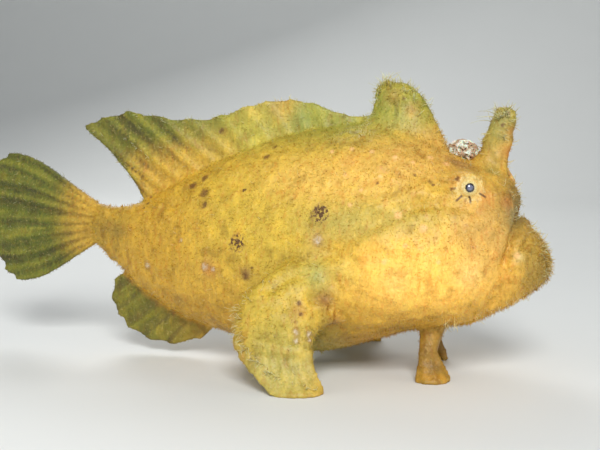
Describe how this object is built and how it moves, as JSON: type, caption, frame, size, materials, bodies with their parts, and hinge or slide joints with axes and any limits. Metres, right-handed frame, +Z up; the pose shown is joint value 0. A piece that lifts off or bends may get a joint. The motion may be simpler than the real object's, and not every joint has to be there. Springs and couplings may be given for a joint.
{
  "type": "frogfish",
  "caption": "Still life-size frogfish with yellow-orange warty skin, standing on hand-like fins, its lure folded back.",
  "frame": {"origin": "on the ground under the middle of the fish's box", "axes": "+X towards the head, +Y to the fish's left, +Z up"},
  "size_m": [0.1802, 0.083, 0.0814],
  "materials": {
    "skin": "soft matt skin, yellow to orange with brown spots",
    "fin": "thin skin over rays, olive yellow",
    "lure": "pale curled filaments",
    "eye": "wet and glossy, pale iris"
  },
  "bodies": {
    "root": {"head": "skin", "lower_jaw": "skin", "torso": "skin", "tail": "skin", "second_dorsal_spine": "skin", "third_dorsal_spine": "skin", "pectoral_arm_right": "skin", "pectoral_arm_left": "skin", "dorsal_fin": "fin", "caudal_fin": "fin", "anal_fin": "fin", "pectoral_fin_right": "fin", "pectoral_fin_left": "fin", "pelvic_fin_right": "fin", "pelvic_fin_left": "fin", "fishing_rod": "lure", "lure": "lure", "eye_right": "eye", "eye_left": "eye"}
  },
  "joints": []
}
